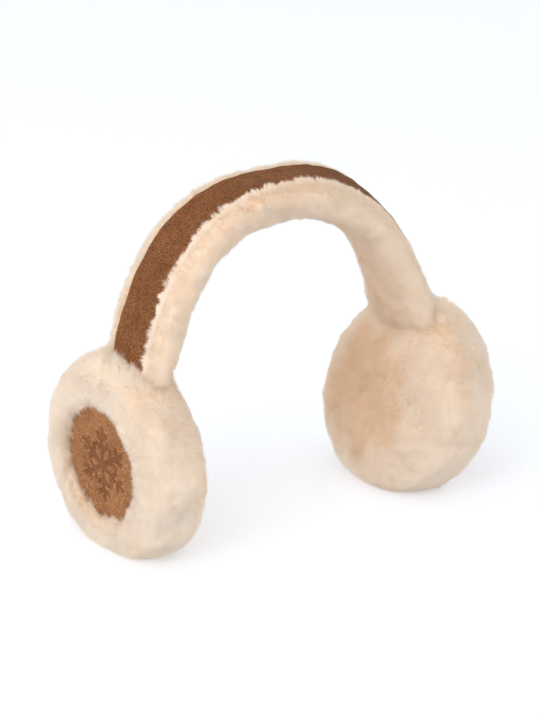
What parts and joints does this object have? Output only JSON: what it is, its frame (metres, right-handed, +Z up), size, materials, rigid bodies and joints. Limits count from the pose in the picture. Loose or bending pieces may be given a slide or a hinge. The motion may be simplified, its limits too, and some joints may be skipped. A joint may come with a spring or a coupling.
{
  "type": "fur earmuffs",
  "caption": "Fur earmuffs standing on their ear cups: round shearling cups with inset suede discs, joined by an arched shearling headband faced with a suede strip.",
  "frame": {"origin": "on the surface that the earmuffs stand on, under the middle of their outer box", "axes": "+X from the left cup to the right cup, +Y from front to back through the cups' rims, +Z up through the headband's top"},
  "size_m": [0.2354, 0.124, 0.1877],
  "materials": {
    "shearling": "dense cream sheepskin pile, matt and soft",
    "suede": "chestnut suede with a short brushed nap, matt"
  },
  "bodies": {
    "root": {"left_ear_ring": "shearling", "left_ear_pad": "shearling", "left_suede_disc": "suede", "right_ear_ring": "shearling", "right_ear_pad": "shearling", "right_suede_disc": "suede", "band_fur": "shearling", "band_suede": "suede"}
  },
  "joints": []
}
